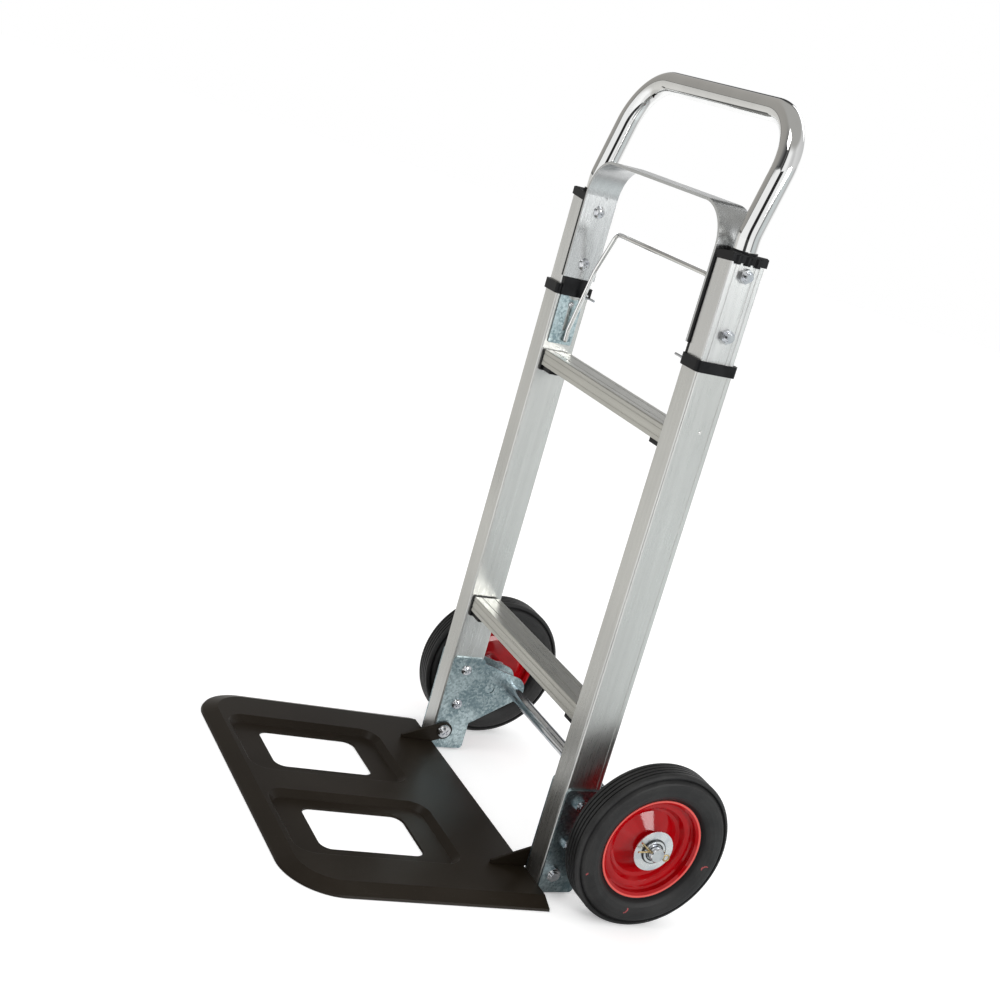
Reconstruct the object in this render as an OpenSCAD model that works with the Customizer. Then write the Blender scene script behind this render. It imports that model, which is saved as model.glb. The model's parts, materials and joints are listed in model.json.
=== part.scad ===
// Two-wheeled hand truck with a telescoping handle frame and a folding toe plate.
// The rails are modelled upright and then leaned so that the toe plate lies flat on the floor.
// Upright coordinates: X across, Y back from the front of the rails, Z up along the rails.

/* [Frame] */
// Forward lean of the rails when the toe plate lies flat, in degrees
lean = 3.75; // [0:0.25:6]
// Distance between the inner faces of the two lower rails
rail_gap = 286; // [240:1:340]
// Width of a lower rail, seen from the front
rail_w = 30; // [26:1:34]
// Depth of a lower rail, front to back
rail_d = 42; // [36:1:50]
// Wall of the rail extrusions
rail_wall = 1.2; // [1:0.1:1.5]
// Corner radius of the rail extrusions
rail_corner = 2.5; // [2:0.1:3]
// Height of the lower end of the rails
rail_foot = 10; // [8:0.5:14]
// Height of the upper end of the lower rails
rail_top = 592; // [560:1:640]

/* [Upper frame] */
// Clearance between an upper rail and the lower rail that it slides in, each side
slide_gap = 0.3; // [0.2:0.05:0.5]
// Height of the upper end of the upper rails with the handle down
upper_top = 694; // [690:1:720]
// Travel of the telescoping upper frame
slide_travel = 250; // [150:5:280]
// Length of upper rail left inside the lower rail at full travel
slide_overlap = 90; // [60:5:120]
// Distance of the upper pair of handle bolts below the top of the upper rails
bolt_drop = 12; // [11:0.5:20]
// Spacing of the two bolt pairs
bolt_pitch = 60; // [40:1:62]

/* [Handle] */
// Outer diameter of the handle tube
tube_d = 24; // [20:0.5:24]
// Wall of the handle tube
tube_wall = 1.5; // [1:0.1:2]
// Height of the knee, where the handle bends back, above the upper rails
knee_rise = 25; // [22:1:60]
// Angle by which the handle bends back, in degrees
knee_angle = 12.5; // [0:0.5:30]
// Bend radius of the knee
knee_r = 55; // [40:1:80]
// Length of the handle above the knee, to the centre of its grip
loop_len = 121; // [110:1:180]
// Bend radius of the two handle corners
loop_r = 57; // [40:1:70]

/* [Arch] */
// Width of the flat bar
arch_w = 40; // [30:1:42]
// Thickness of the flat bar
arch_t = 3; // [2:0.5:4]
// Height of the top of the arch above the upper rails
arch_rise = 47; // [44:1:80]
// Outer corner radius of the arch
arch_r = 42; // [20:1:60]
// Thickness of the plastic strip between arch and rail
strip_t = 3.5; // [2:0.5:5]

/* [Wheels] */
// Wheel diameter
wheel_d = 180; // [160:1:200]
// Tyre width
tyre_w = 36; // [34:1:40]
// Diameter of the wheel rim at its lip
rim_d = 117; // [110:1:122]
// Axle diameter
axle_d = 16; // [12:0.5:16]
// Distance of the axle behind the front of the rails
axle_back = 90; // [85:1:100]
// Space between the outer axle plate and the tyre
wheel_gap = 21; // [18:0.5:26]
// Running clearance of the wheel bush on the axle
axle_fit = 0.05; // [0.02:0.01:0.1]

/* [Toe plate] */
// Width of the toe plate
toe_w = 424; // [400:1:440]
// Reach of the toe plate from the axle to its front edge
toe_reach = 374; // [330:1:420]
// Height of the raised area of the toe plate
toe_h = 9.5; // [8:0.5:12]
// Thickness of the toe plate sheet
toe_t = 2.5; // [2:0.1:3]
// Radius of the two front corners
toe_corner = 60; // [40:1:70]

/* [Hidden] */
$fn = 64;
eps = 0.01;

// Fasteners: thread diameter, and head and nut sizes as multiples of it
m6 = 6;
m8 = 8;
m10 = 10;
hole_fit = 0.2;

// Rails
rail_x = rail_gap / 2 + rail_w / 2;
rail_mid = rail_d / 2;
upper_w = rail_w - 2 * rail_wall - 2 * slide_gap;
upper_d = rail_d - 2 * rail_wall - 2 * slide_gap;
upper_foot = rail_top - slide_travel - slide_overlap;
upper_in = rail_x - upper_w / 2;
upper_out = rail_x + upper_w / 2;
channel_w = 19;
channel_h = 0.4;
groove_y = 13.5;
groove_w = 1.2;

// Collar at the upper end of each lower rail
collar_wall = 2.5;
collar_low = rail_top - 8.5;
collar_h = 11.5;
block_top = rail_top + 12.2;

// Arch and handle
arch_out = upper_in - strip_t;
arch_low = block_top + 0.6;
arch_mid = rail_mid - 1;
arch_top = upper_top + arch_rise;
knee_z = upper_top + knee_rise;
cap_h = 8.5;
bolt_high = upper_top - bolt_drop;
bolt_low = bolt_high - bolt_pitch;
tube_foot = bolt_low - 20;

// Crossbars
bar_h = 18.5;
bar_d = 34;
bar_wall = 1.6;
bar_upper_z = 500;
bar_lower_z = 190;
bracket_t = 4;
shelf_t = 5;
shelf_reach = 24;
tongue_len = 14;

// Wheels and axle
wheel_r = wheel_d / 2;
plate_t = 2.5;
axle_up = 90;
tyre_in = rail_gap / 2 + rail_w + plate_t + wheel_gap;
wheel_mid = tyre_in + tyre_w / 2;
hub_d = 28;
bush_d = 20;
hub_in = tyre_in - 3;
hub_out = wheel_mid + 11.4;
spacer_d = 24;
side_gap = 0.3;
washer_x = hub_out + side_gap;
washer_big_d = 46;
washer_big_t = 1.6;
washer_small_d = 27;
washer_small_t = 2;
pin_x = washer_x + washer_big_t + washer_small_t + 3;
pin_d = 3.6;
pin_turn = -18;
axle_end = pin_x + 5;

// Toe plate and its hinge
hinge_y = 12;
hinge_z = 30;
ear_t = 3;
ear_gap = 0.4;
lip_w = 20;
panel_in = 19;
panel_side = 63;
panel_out = toe_w / 2 - panel_side;
panel_front = lip_w + 1.5;
panel_back = 179;
panel_len = toe_reach - panel_back;
panel_r = 24;
wall_run = 9;
hole_in = 43.8;
hole_side = 23.5;
hole_out = panel_out - hole_side;
hole_front = 59;
hole_ends = 75;
hole_len = panel_len - hole_ends;
hole_r = 13;

// Latch on the inner face of each lower rail
block_t = 4.5;
block_d = 34;
plate_gap = 0.3;
latch_t = 1.5;
latch_w = 30;
latch_y = rail_mid - 1;
latch_low = bar_upper_z + bar_h + 2.5;
latch_top = collar_low + 2;
latch_x = rail_gap / 2 - plate_gap - latch_t;
slot_w = 4.8;
screw_d = 4;
screw_z = collar_low - 9.5;
slot_low = screw_z - 29;
bail_lift = 11;
wire_d = 5.5;
wire_end_d = 4;
hook_z = latch_low + 13;
notch_y = 3;
notch_r = 12.2;
recess_w = 20;
recess_h = 8;
recess_t = 0.7;
hook_y = rail_mid + 3.5;
wire_x = latch_x - 0.3 - wire_d / 2;
bail_y = rail_mid + 8;
bail_knee = 84;
bail_rise = 133;
bail_taper = 39;
lock_d = 4;
lock_off = 12.5;
lock_z = collar_low + 3.2;
lock_tail = 28;

// Where the leaned frame sits on the floor: the wheels touch Z = 0
axle_y = (toe_reach + wheel_r) / 2 - wheel_r;
module leaned() {
    translate([0, axle_y, wheel_r])
        rotate([lean, 0, 0])
            translate([0, -axle_back, -axle_up]) children();
}
// Floor coordinates of a point that is given in upright coordinates
function floor_y(y, z) = axle_y + (y - axle_back) * cos(lean) - (z - axle_up) * sin(lean);
function floor_z(y, z) = wheel_r + (y - axle_back) * sin(lean) + (z - axle_up) * cos(lean);

// Puts a right-hand piece on the side given by s: 1 is right, -1 is left
module on_side(s) {
    if (s > 0) children();
    else mirror([1, 0, 0]) children();
}
module both_sides() {
    children();
    mirror([1, 0, 0]) children();
}
// Cylinder along X from x0 to x1
module rod_x(d, x0, x1) {
    translate([x0, 0, 0]) rotate([0, 90, 0]) cylinder(d = d, h = x1 - x0);
}
module hex_x(across, x0, x1) {
    translate([x0, 0, 0]) rotate([0, 90, 0]) cylinder(d = across / cos(30), h = x1 - x0, $fn = 6);
}
module round_rect(w, d, r) {
    square([w - 2 * r, d], center = true);
    square([w, d - 2 * r], center = true);
    for (x = [-1, 1], y = [-1, 1])
        translate([x * (w / 2 - r), y * (d / 2 - r)]) circle(r = r);
}
// Flat shape in the Y-Z plane, extruded along X from x0 to x1
module slab_x(x0, x1) {
    translate([x0, 0, 0]) rotate([90, 0, 90]) linear_extrude(x1 - x0) children();
}

seam = 0.5;
// Bent round bar through pts, with bend radius radii[i] at the inner points
function unit(v) = v / norm(v);
function turn(a, b) = acos(max(-1, min(1, a * b)));
module bar_between(p, q, d) {
    v = q - p;
    translate(p)
        rotate([0, acos(v[2] / norm(v)), atan2(v[1], v[0])])
            cylinder(d = d, h = norm(v));
}
module bend(p, a, b, r, d) {
    ang = turn(a, b);
    n = unit(cross(a, b));
    side = cross(n, a);
    start = p - a * (r * tan(ang / 2));
    c = start + side * r;
    x = -side;
    level = abs(x[2]) > 0.9999;
    turn_x = level ? atan2(-n[1], a[1]) : atan2(a[2], n[2]);
    turn_z = level ? 0 : atan2(x[1], x[0]);
    translate(c) rotate([turn_x, -asin(x[2]), turn_z])
        rotate_extrude(angle = ang) translate([r, 0]) circle(d = d);
}
module bent_bar(pts, radii, d) {
    last = len(pts) - 1;
    dirs = [for (i = [0:last - 1]) unit(pts[i + 1] - pts[i])];
    cut = [for (i = [0:last])
        (i == 0 || i == last) ? 0 : radii[i - 1] * tan(turn(dirs[i - 1], dirs[i]) / 2)];
    for (i = [0:last - 1])
        bar_between(pts[i] + dirs[i] * cut[i], pts[i + 1] - dirs[i] * cut[i + 1], d);
    if (last > 1) for (i = [1:last - 1]) {
        bend(pts[i], dirs[i - 1], dirs[i], radii[i - 1], d);
        // a hair-thin sleeve covers the seam at each end of a bend
        for (e = [[i - 1, -1], [i, 1]])
            bar_between(pts[i] + dirs[e[0]] * (e[1] * cut[i] - seam),
                pts[i] + dirs[e[0]] * (e[1] * cut[i] + seam), d + 0.06);
    }
}

// Half outline of a pan head, radius and height, as multiples of the thread diameter
head_line = [[0, 0], [0.875, 0], [0.875, 0.06], [0.81, 0.21], [0.64, 0.36], [0.36, 0.47], [0, 0.5]];
head_cross = [0.2, 0.95, 0.26];
// Pan head bolt along +X: the head's seat is at x0, the thread ends at x1
module pan_bolt(d, x0, x1) {
    rod_x(d, x0 - eps, x1);
    translate([x0, 0, 0]) difference() {
        rotate([0, -90, 0]) rotate_extrude() polygon([for (p = head_line) p * d]);
        // cross recess
        for (a = [45, 135]) rotate([a, 0, 0])
            translate([-d, -head_cross[0] * d / 2, -head_cross[1] * d / 2])
                cube([d * (0.5 + head_cross[2]), head_cross[0] * d, head_cross[1] * d]);
    }
}
module nut(d, x0) {
    difference() {
        union() {
            hex_x(1.6 * d, x0, x0 + 0.6 * d);
            rod_x(1.4 * d, x0 + 0.6 * d - eps, x0 + 0.8 * d);
        }
        rod_x(d, x0 - 1, x0 + d);
    }
}

// ---- Lower frame ----

module lower_section() {
    difference() {
        round_rect(rail_w, rail_d, rail_corner);
        round_rect(rail_w - 2 * rail_wall, rail_d - 2 * rail_wall, rail_corner - rail_wall);
        // shallow channel along the outer face
        translate([rail_w / 2 - channel_h, -rail_d * 0.36]) square([1, rail_d * 0.72]);
    }
}
module lower_rail(s) {
    color("silver") leaned() on_side(s) difference() {
        translate([rail_x, rail_mid, rail_foot]) linear_extrude(rail_top - rail_foot) lower_section();
        plate_bolt_places() rod_x(m8 + hole_fit, rail_gap / 2 - 1, rail_gap / 2 + rail_w + 1);
        translate([0, hinge_y, hinge_z]) rod_x(m10 + hole_fit, rail_gap / 2 - 1, rail_gap / 2 + rail_w + 1);
        for (z = [bar_upper_z, bar_lower_z])
            translate([0, rail_mid, z + bar_h / 2]) rod_x(m6, rail_gap / 2 - 1, rail_gap / 2 + 3);
        lock_place(s) rod_x(lock_d + 0.6, rail_gap / 2 - 1, rail_gap / 2 + 3);
        translate([0, rail_mid, screw_z]) rod_x(screw_d, rail_gap / 2 - 1, rail_gap / 2 + 3);
        // punch mark on the outer face
        translate([rail_gap / 2 + rail_w - channel_h + 2.3, rail_mid + 4, bar_upper_z + 25]) sphere(r = 3);
    }
}
module rail_plug(s) {
    color("black") leaned() on_side(s) translate([rail_x, rail_mid, rail_foot]) {
        translate([0, 0, -2.5]) linear_extrude(2.5) round_rect(rail_w, rail_d, rail_corner);
        difference() {
            linear_extrude(12)
                round_rect(rail_w - 2 * rail_wall - 0.1, rail_d - 2 * rail_wall - 0.1,
                    rail_corner - rail_wall);
            translate([0, 0, 2])
                linear_extrude(20)
                    round_rect(rail_w - 2 * rail_wall - 5, rail_d - 2 * rail_wall - 5, 1);
        }
    }
}
module collar(s) {
    color("black") leaned() on_side(s) difference() {
        union() {
            translate([rail_x, rail_mid, collar_low])
                linear_extrude(collar_h)
                    round_rect(rail_w + 2 * collar_wall, rail_d + 2 * collar_wall,
                        rail_corner + collar_wall);
            // block that houses the latch, above and inboard of the rail's end
            translate([rail_gap / 2 - block_t, latch_y - block_d / 2, collar_low])
                cube([upper_in - 0.4 - rail_gap / 2 + block_t, block_d, block_top - collar_low]);
        }
        translate([rail_x, rail_mid, collar_low - 1])
            linear_extrude(rail_top - collar_low + 1) round_rect(rail_w, rail_d, rail_corner);
        translate([rail_x, rail_mid, collar_low - 1])
            linear_extrude(block_top) round_rect(upper_w + 0.8, upper_d + 0.8, rail_corner - rail_wall);
        // pocket that the latch plate rises into
        translate([latch_x - 0.3, latch_y - latch_w / 2 - 0.3, collar_low - 1])
            cube([latch_t + plate_gap + 0.3, latch_w + 0.6, latch_top - collar_low + bail_lift + 1.5]);
        lock_place(s) rod_x(lock_d + 0.1, rail_gap / 2 - block_t - 1, upper_in);
    }
}
module bar_section() {
    difference() {
        round_rect(bar_d, bar_h, 1.2);
        round_rect(bar_d - 2 * bar_wall, bar_h - 2 * bar_wall, 0.5);
        for (y = [-0.22, 0.28])
            translate([y * bar_d, bar_h / 2]) square([1.2, 1], center = true);
        for (z = [-0.2, 0.24])
            translate([-bar_d / 2, z * bar_h]) square([0.8, 1.2], center = true);
    }
}
module crossbar(z) {
    half = rail_gap / 2 - bracket_t;
    color("silver") leaned() difference() {
        translate([-half, rail_mid, z + bar_h / 2])
            rotate([90, 0, 90]) linear_extrude(2 * half) bar_section();
        both_sides()
            translate([rail_gap / 2 - shelf_reach / 2, rail_mid, z - 1])
                cylinder(d = m6 + hole_fit, h = bar_wall + 2);
    }
}
module bar_bracket(s, z) {
    inner = rail_gap / 2 - bracket_t;
    color("black") leaned() on_side(s) difference() {
        union() {
            translate([inner, rail_mid - bar_d / 2, z - shelf_t - 1])
                cube([bracket_t, bar_d, bar_h + shelf_t - 2]);
            // shelf under the bar
            translate([rail_gap / 2 - shelf_reach, rail_mid - bar_d / 2 + 2, z - shelf_t])
                cube([shelf_reach - bracket_t + eps, bar_d - 4, shelf_t]);
            // tongue inside the hollow bar
            translate([inner - tongue_len, rail_mid - bar_d / 2 + bar_wall, z + bar_wall])
                cube([tongue_len + eps, bar_d - 2 * bar_wall, bar_h - 2 * bar_wall]);
        }
        translate([rail_gap / 2 - shelf_reach / 2, rail_mid, z - shelf_t - 2])
            cylinder(d = m6 + hole_fit, h = shelf_t + 3);
        translate([rail_gap / 2 - shelf_reach / 2, rail_mid, z + eps])
            cylinder(d = m6 + 2, h = bar_h / 2 - m6 / 2 - 2);
        translate([0, rail_mid, z + bar_h / 2]) rod_x(m6, inner - 16, rail_gap / 2 + 1);
    }
}
module bar_bolts() {
    color("gainsboro") leaned() both_sides() for (z = [bar_upper_z, bar_lower_z])
        translate([rail_gap / 2 - shelf_reach / 2, rail_mid, z - shelf_t])
            rotate([0, -90, 0]) pan_bolt(m6, 0, shelf_t + bar_wall);
}
// Rivets that hold the brackets to the rails, with their heads inside the hollow bars
module bar_rivets() {
    head = rail_gap / 2 - bracket_t - tongue_len;
    color("silver") leaned() both_sides() for (z = [bar_upper_z, bar_lower_z])
        translate([0, rail_mid, z + bar_h / 2]) {
            rod_x(m6, head, rail_gap / 2 + rail_wall);
            rod_x(1.6 * m6, head - 2, head);
        }
}

// ---- Axle plates and axle ----

plate_bolts = [[rail_mid, 66], [rail_mid, 112]];
module plate_bolt_places() {
    for (p = plate_bolts) translate([0, p[0], p[1]]) children();
}
// Outline of an axle plate: rail flange, web and axle boss
boss_r = 17;
web_low = 40;
web_hole = 13;
plate_top = 128;
plate_low = rail_foot - 4;
module axle_plate_outline() {
    far = norm([axle_back - rail_d, axle_up - plate_top]);
    difference() {
        union() {
            translate([1, plate_low + 5]) square([rail_d + 1, plate_top - plate_low - 10]);
            translate([6, plate_low]) square([rail_d - 9, plate_top - plate_low]);
            for (y = [6, rail_d - 3], z = [plate_low + 5, plate_top - 5])
                translate([y, z]) circle(r = 5);
            translate([axle_back, axle_up]) circle(r = boss_r);
            polygon([[rail_d + 1, web_low], [axle_back + 6, axle_up - boss_r + 1.1],
                [axle_back + 6, axle_up + boss_r - 1.1], [rail_d + 1, plate_top - 5]]);
        }
        translate([axle_back, axle_up]) circle(d = axle_d + hole_fit);
        for (p = plate_bolts) translate(p) circle(d = m8 + hole_fit);
        translate([hinge_y, hinge_z]) circle(d = m10 + hole_fit);
        translate([(rail_d + axle_back - boss_r) / 2 + 2, axle_up - 1]) circle(d = web_hole);
    }
}
module axle_plate_outer(s) {
    face = rail_gap / 2 + rail_w;
    color("lightsteelblue") leaned() on_side(s) slab_x(face, face + plate_t) axle_plate_outline();
}
module axle_plate_inner(s) {
    face = rail_gap / 2;
    color("lightsteelblue") leaned() on_side(s) slab_x(face - plate_t, face) axle_plate_outline();
}
module axle_plate_bolts() {
    grip = rail_w + 2 * plate_t;
    color("gainsboro") leaned() both_sides() plate_bolt_places()
        pan_bolt(m8, rail_gap / 2 - plate_t, rail_gap / 2 - plate_t + grip + m8);
}
module frame_nuts() {
    face = rail_gap / 2 + rail_w + plate_t;
    color("gainsboro") leaned() both_sides() {
        plate_bolt_places() nut(m8, face);
        translate([0, hinge_y, hinge_z]) nut(m10 * 0.9, face);
    }
}
module toe_hinge_bolts() {
    seat = rail_gap / 2 - plate_t - ear_gap - ear_t - 0.2;
    color("gainsboro") leaned() both_sides() translate([0, hinge_y, hinge_z]) {
        pan_bolt(m10, seat, rail_gap / 2 + rail_w + plate_t - eps);
        rod_x(m10 * 0.9, rail_gap / 2 + rail_w + plate_t - 0.1, rail_gap / 2 + rail_w + plate_t + m10 * 0.9);
    }
}
module axle() {
    color("gainsboro") leaned() translate([0, axle_back, axle_up]) difference() {
        union() {
            rod_x(axle_d, 1 - axle_end, axle_end - 1);
            both_sides() translate([axle_end - 1 - eps, 0, 0]) rotate([0, 90, 0])
                cylinder(d1 = axle_d, d2 = axle_d - 2, h = 1 + eps);
        }
        for (x = [-pin_x, pin_x])
            translate([x, 0, 0]) rotate([pin_turn, 0, 0])
                rotate([90, 0, 0]) cylinder(d = pin_d + 0.4, h = axle_d + 2, center = true);
    }
}
module axle_spacer(s) {
    color("gainsboro") leaned() on_side(s) translate([0, axle_back, axle_up]) difference() {
        rod_x(spacer_d, rail_gap / 2 + rail_w + plate_t, hub_in - side_gap);
        rod_x(axle_d + hole_fit, rail_gap / 2, hub_in);
    }
}
module axle_washers() {
    color("gainsboro") leaned() both_sides() translate([0, axle_back, axle_up]) {
        difference() {
            rod_x(washer_big_d, washer_x, washer_x + washer_big_t);
            rod_x(axle_d + hole_fit, washer_x - 1, washer_x + 5);
        }
        difference() {
            rod_x(washer_small_d, washer_x + washer_big_t, washer_x + washer_big_t + washer_small_t);
            rod_x(axle_d + hole_fit, washer_x - 1, washer_x + 9);
            translate([washer_x + washer_big_t + washer_small_t - 1.2, 0, 0]) rotate([0, 90, 0])
                cylinder(d1 = axle_d + hole_fit, d2 = axle_d + 4.6, h = 1.3);
        }
    }
}
// Split pin: eye at the back, and two legs splayed in front of the axle
module split_pins() {
    half = axle_d / 2;
    leg_d = pin_d / 2;
    leg_long = 16;
    eye_r = 3.4;
    eye_y = half + 7;
    color("gold") leaned() both_sides() translate([pin_x, axle_back, axle_up]) rotate([pin_turn, 0, 0]) {
        bar_between([0, eye_y - eye_r + 0.5, 0], [0, -half - 2.5, 0], pin_d);
        bar_between([0, -half - 1, leg_d / 3], [0.6, -half - leg_long, 5.5], leg_d);
        bar_between([0, -half - 1, -leg_d / 3], [0.6, -half - leg_long + 2, -5], leg_d);
        translate([0, eye_y, 0]) rotate([0, 90, 0])
            rotate_extrude() translate([eye_r, 0]) circle(d = leg_d);
    }
}

// ---- Latch ----

// The same latch parts are used on both rails, turned round, so the pins sit on opposite halves
module lock_place(s) {
    translate([0, rail_mid - s * lock_off, lock_z]) children();
}
module latch_screws() {
    color("gainsboro") leaned() both_sides() translate([0, rail_mid, screw_z])
        pan_bolt(screw_d, latch_x - 0.3, rail_gap / 2 + rail_wall);
}
module latch_plate(s) {
    color("lightsteelblue") leaned() on_side(s) difference() {
        slab_x(latch_x, latch_x + latch_t) difference() {
            union() {
                translate([latch_y, (latch_low + latch_top + 6) / 2])
                    round_rect(latch_w, latch_top - latch_low - 6, 2);
                translate([latch_y - latch_w / 2, latch_low + 20])
                    square([latch_w, latch_top - latch_low - 20]);
            }
            // slot round the guide screw
            translate([rail_mid - slot_w / 2, slot_low]) square([slot_w, screw_z - slot_low]);
            for (z = [slot_low, screw_z]) translate([rail_mid, z]) circle(d = slot_w);
            // notch in the top edge
            translate([rail_mid - s * notch_y, latch_top + notch_r / 2]) circle(r = notch_r);
            // corner cut away for the lock pin
            translate([rail_mid - s * lock_off - (s > 0 ? 6 : lock_d / 2 + 0.4), lock_z - bail_lift - lock_d])
                square([6 + lock_d / 2 + 0.4, bail_lift + 3 * lock_d]);
        }
        translate([0, hook_y, hook_z]) rod_x(wire_end_d, latch_x - 1, rail_gap / 2);
        // pressed recess round the end of the bail
        slab_x(latch_x - 1, latch_x + recess_t) translate([hook_y - 2.5, hook_z + 1])
            round_rect(recess_w, recess_h, 3);
    }
}
module lock_pin(s) {
    face = rail_gap / 2;
    color("gainsboro") leaned() on_side(s) lock_place(s) {
        rod_x(lock_d, face - block_t - 2, upper_in - 0.3);
        rod_x(lock_d * 0.7, face - lock_tail, face - block_t - 2 + eps);
        rod_x(lock_d * 1.5, face - block_t - 4, face - block_t - 2 + eps);
    }
}
module release_bail() {
    legs = [[wire_x, hook_y, hook_z - 0.5], [wire_x, hook_y, hook_z + 12],
        [wire_x - 14, bail_y, hook_z + bail_knee], [wire_x - bail_taper, bail_y + 1, hook_z + bail_rise]];
    left = [for (p = legs) [-p[0], p[1], p[2]]];
    path = concat([for (i = [0:3]) left[i]], [for (i = [3:-1:0]) legs[i]]);
    color("silver") leaned() {
        bent_bar(path, [20, 24, 12, 12, 24, 20], wire_d);
        both_sides() translate([0, hook_y, hook_z]) {
            rod_x(wire_end_d, wire_x, latch_x + latch_t);
            translate([wire_x, 0, -0.5]) sphere(d = wire_d);
        }
    }
}

// ---- Upper frame ----

module upper_section() {
    difference() {
        round_rect(upper_w, upper_d, rail_corner - rail_wall);
        round_rect(upper_w - 2 * rail_wall, upper_d - 2 * rail_wall, 0.6);
        // channel that seats the nuts, and a groove on each side of it
        translate([upper_w / 2 - channel_h, -channel_w / 2]) square([1, channel_w]);
        for (y = [-groove_y, groove_y])
            translate([upper_w / 2 - channel_h, y - groove_w / 2]) square([1, groove_w]);
    }
}
module handle_bolt_places() {
    for (z = [bolt_low, bolt_high]) translate([0, rail_mid, z]) children();
}
module upper_rail(s) {
    color("silver") leaned() on_side(s) difference() {
        translate([rail_x, rail_mid, upper_foot]) linear_extrude(upper_top - upper_foot) upper_section();
        handle_bolt_places() rod_x(m8 + hole_fit, upper_in - 1, upper_out + 1);
        // hole that the lock pin drops into at full travel
        translate([0, 0, -slide_travel]) lock_place(s) rod_x(lock_d + 0.6, upper_in - 1, upper_in + 3);
    }
}
module slide_plug(s) {
    color("black") leaned() on_side(s) translate([rail_x, rail_mid, upper_foot]) {
        translate([0, 0, -4]) linear_extrude(4) round_rect(upper_w, upper_d, rail_corner - rail_wall);
        linear_extrude(14) round_rect(upper_w - 2 * rail_wall - 0.1, upper_d - 2 * rail_wall - 0.1, 0.6);
    }
}
// Cap on the upper rail: its front slopes up towards the outside, and three lobes hook over the outer face
module rail_cap(s) {
    rim = 1.2;
    depth = upper_d + 2 * rim;
    color("black") leaned() on_side(s) difference() {
        union() {
            translate([0, rail_mid + depth / 2, 0]) rotate([90, 0, 0]) linear_extrude(depth)
                polygon([[arch_out, upper_top - 3.5], [upper_out + rim, upper_top - 0.8],
                    [upper_out + rim, upper_top + cap_h - 1], [upper_out - 3, upper_top + cap_h],
                    [arch_out, upper_top + cap_h - 4]]);
            translate([rail_x, rail_mid, upper_top])
                cylinder(d1 = upper_w, d2 = tube_d + 3.4, h = cap_h + 1.5);
            for (y = [-13, -1.5, 10])
                translate([upper_out + rim - 2, rail_mid + y, upper_top - 2.5])
                    cylinder(d = 8, h = cap_h);
        }
        // seat of the cap on the end of the rail
        translate([rail_x, rail_mid, upper_top - 10])
            linear_extrude(10) round_rect(upper_w + 0.04, upper_d + 0.04, rail_corner - rail_wall);
        translate([rail_x, rail_mid, upper_top - 1]) cylinder(d = tube_d + 0.2, h = cap_h + 4);
        // room for the arch and its strip
        translate([arch_out - 10, arch_mid - arch_w / 2 - 0.5, upper_top - 8])
            cube([10 + strip_t + 0.02, arch_w + 1, 8]);
    }
}
module arch_strip(s) {
    color("black") leaned() on_side(s) difference() {
        translate([arch_out, arch_mid - arch_w / 2, arch_low])
            cube([strip_t, arch_w, upper_top - 0.2 - arch_low]);
        handle_bolt_places() rod_x(m8 + hole_fit, arch_out - 1, upper_in + 1);
    }
}
module arch_outline(grow) {
    w = 2 * arch_out - 2 * grow;
    r = arch_r - grow;
    top = arch_top - grow;
    translate([-w / 2, 0]) square([w, top - r]);
    translate([-w / 2 + r, 0]) square([w - 2 * r, top]);
    for (x = [-1, 1]) translate([x * (w / 2 - r), top - r]) circle(r = r);
}
module arch_bar() {
    color("silver") leaned() difference() {
        translate([0, arch_mid + arch_w / 2, 0]) rotate([90, 0, 0]) linear_extrude(arch_w) difference() {
            arch_outline(0);
            arch_outline(arch_t);
            translate([-500, -eps]) square([1000, arch_low]);
        }
        both_sides() {
            handle_bolt_places() rod_x(m8 + hole_fit, arch_out - arch_t - 1, arch_out + 1);
            // punch mark
            translate([arch_out - arch_t - 1.6, arch_mid + 6, bolt_high + 16]) sphere(r = 2.2);
        }
    }
}
function handle_path(foot) = let(
        top = [loop_len * sin(knee_angle), loop_len * cos(knee_angle)])
    [[-rail_x, rail_mid, foot], [-rail_x, rail_mid, knee_z],
    [-rail_x, rail_mid + top[0], knee_z + top[1]], [rail_x, rail_mid + top[0], knee_z + top[1]],
    [rail_x, rail_mid, knee_z], [rail_x, rail_mid, foot]];
module handle_tube() {
    bends = [knee_r, loop_r, loop_r, knee_r];
    color("gainsboro") leaned() difference() {
        bent_bar(handle_path(tube_foot), bends, tube_d);
        bent_bar(handle_path(tube_foot - 1), bends, tube_d - 2 * tube_wall);
        both_sides() handle_bolt_places() rod_x(m8 + hole_fit, upper_in, upper_out);
    }
}
module handle_bolts() {
    color("gainsboro") leaned() both_sides() handle_bolt_places()
        pan_bolt(m8, arch_out - arch_t, upper_out + m8 + 1.5);
}
module handle_nuts() {
    color("gainsboro") leaned() both_sides() handle_bolt_places() nut(m8, upper_out - channel_h);
}

// ---- Wheels ----

// Revolves a profile about the axle: profile x is the radius, y the distance from the wheel's middle
module on_axle(s) {
    leaned() on_side(s) translate([wheel_mid, axle_back, axle_up])
        rotate([0, 90, 0]) rotate_extrude($fn = 128) children();
}
rim_t = 1.6;
rim_r = rim_d / 2;
seat_r = rim_r - 4;
lip_x = 10.4;
web_x = -6.4;
web_r = rim_r - 21.5;
cone_x = 4;
cone_r = hub_d / 2 + 3;
ring_r = rim_r - 14;
// Line that the outer half of the rim follows: radius, distance from the wheel's middle.
// From a seat on the hub it falls as a cone, then rises again to the ring that carries the tyre
rim_line = [[hub_d / 2, cone_x], [cone_r, cone_x], [web_r, web_x], [web_r + 4, web_x + 1.6],
    [ring_r, web_x + 5.9], [ring_r + 3.5, 0.3], [ring_r + 7, 0.5], [seat_r - rim_t / 2, 2.3],
    [seat_r - rim_t / 2, lip_x - 2.6], [rim_r - 2.6, lip_x - 0.9], [rim_r - 0.6, lip_x - 0.5]];
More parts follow.
